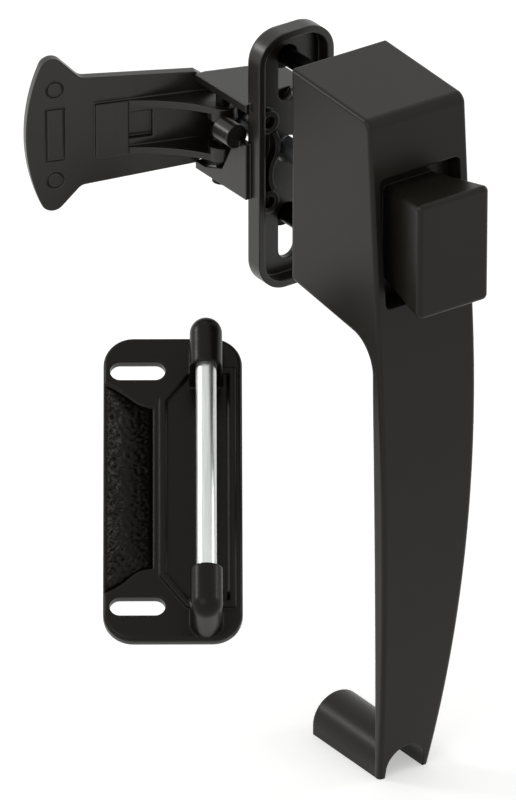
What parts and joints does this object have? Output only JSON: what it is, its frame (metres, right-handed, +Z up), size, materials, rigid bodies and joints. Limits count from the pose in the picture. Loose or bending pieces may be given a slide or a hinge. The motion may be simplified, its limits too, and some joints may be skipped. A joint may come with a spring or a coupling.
{
  "type": "storm door push button latch",
  "caption": "Black storm door latch: outside pull handle with a push button, inside rocking lever on a slotted plate, and a strike plate with a steel pin.",
  "frame": {"origin": "midway between the two mounting screws, on the door's outer face", "axes": "+X to the right seen from outside, +Y into the house, +Z up"},
  "size_m": [0.0953, 0.0969, 0.1651],
  "materials": {
    "black_casting": "satin",
    "black_moulding": "satin",
    "black_screw": "satin",
    "bright_steel": "polished",
    "plain_steel": "zinc plated"
  },
  "bodies": {
    "latch": {"handle_body": "black_casting", "keeper_plate": "plain_steel", "push_nut": "plain_steel", "button_spring": "plain_steel", "mounting_screws": "black_screw", "latch_housing": "black_moulding", "hinge_pin": "plain_steel", "return_spring": "plain_steel", "strike_plate": "black_casting", "strike_pin": "bright_steel"},
    "button": {"push_button": "black_casting", "push_rod": "plain_steel"},
    "lever": {"latch_lever": "black_moulding"}
  },
  "joints": [
    {"name": "button_slide", "type": "slide", "parent": "latch", "child": "button", "axis": [0, 1, 0], "range_m": [0, 0.0045], "stiffness_N_per_m": 500, "springref_m": -0.006, "deforming": ["button_spring"]},
    {"name": "lever_rock", "type": "hinge", "parent": "latch", "child": "lever", "pos_m": [-0.0086, 0.0315, -0.0012], "axis": [0, 0, 1], "range_deg": [0, 32]}
  ],
  "couplings": [
    {"joint": "lever_rock", "follows": "button_slide", "rad_per_m": 124}
  ]
}
